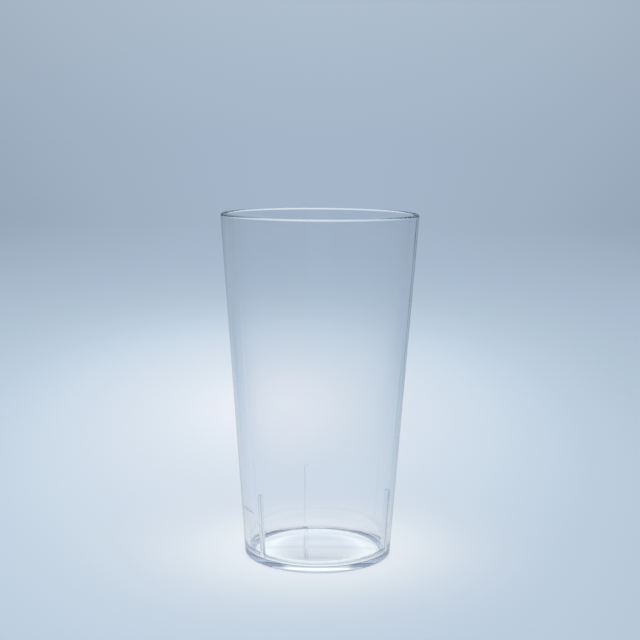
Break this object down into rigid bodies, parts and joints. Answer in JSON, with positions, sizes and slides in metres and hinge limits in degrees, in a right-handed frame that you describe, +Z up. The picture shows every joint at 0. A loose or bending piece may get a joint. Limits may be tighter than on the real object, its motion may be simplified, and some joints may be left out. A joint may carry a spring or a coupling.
{
  "type": "plastic tumbler cup",
  "caption": "Clear plastic drinking tumbler with a tapered wall, a flat foot and short stacking ribs inside above the floor.",
  "frame": {"origin": "centre of the flat face that the cup stands on", "axes": "+Z up along the cup's axis towards the mouth, +Y through one of the stacking ribs"},
  "size_m": [0.0826, 0.0826, 0.145],
  "materials": {
    "clear_plastic": "clear moulded styrene acrylonitrile, polished, with a faint cool tint"
  },
  "bodies": {
    "root": {"tumbler": "clear_plastic"}
  },
  "joints": []
}
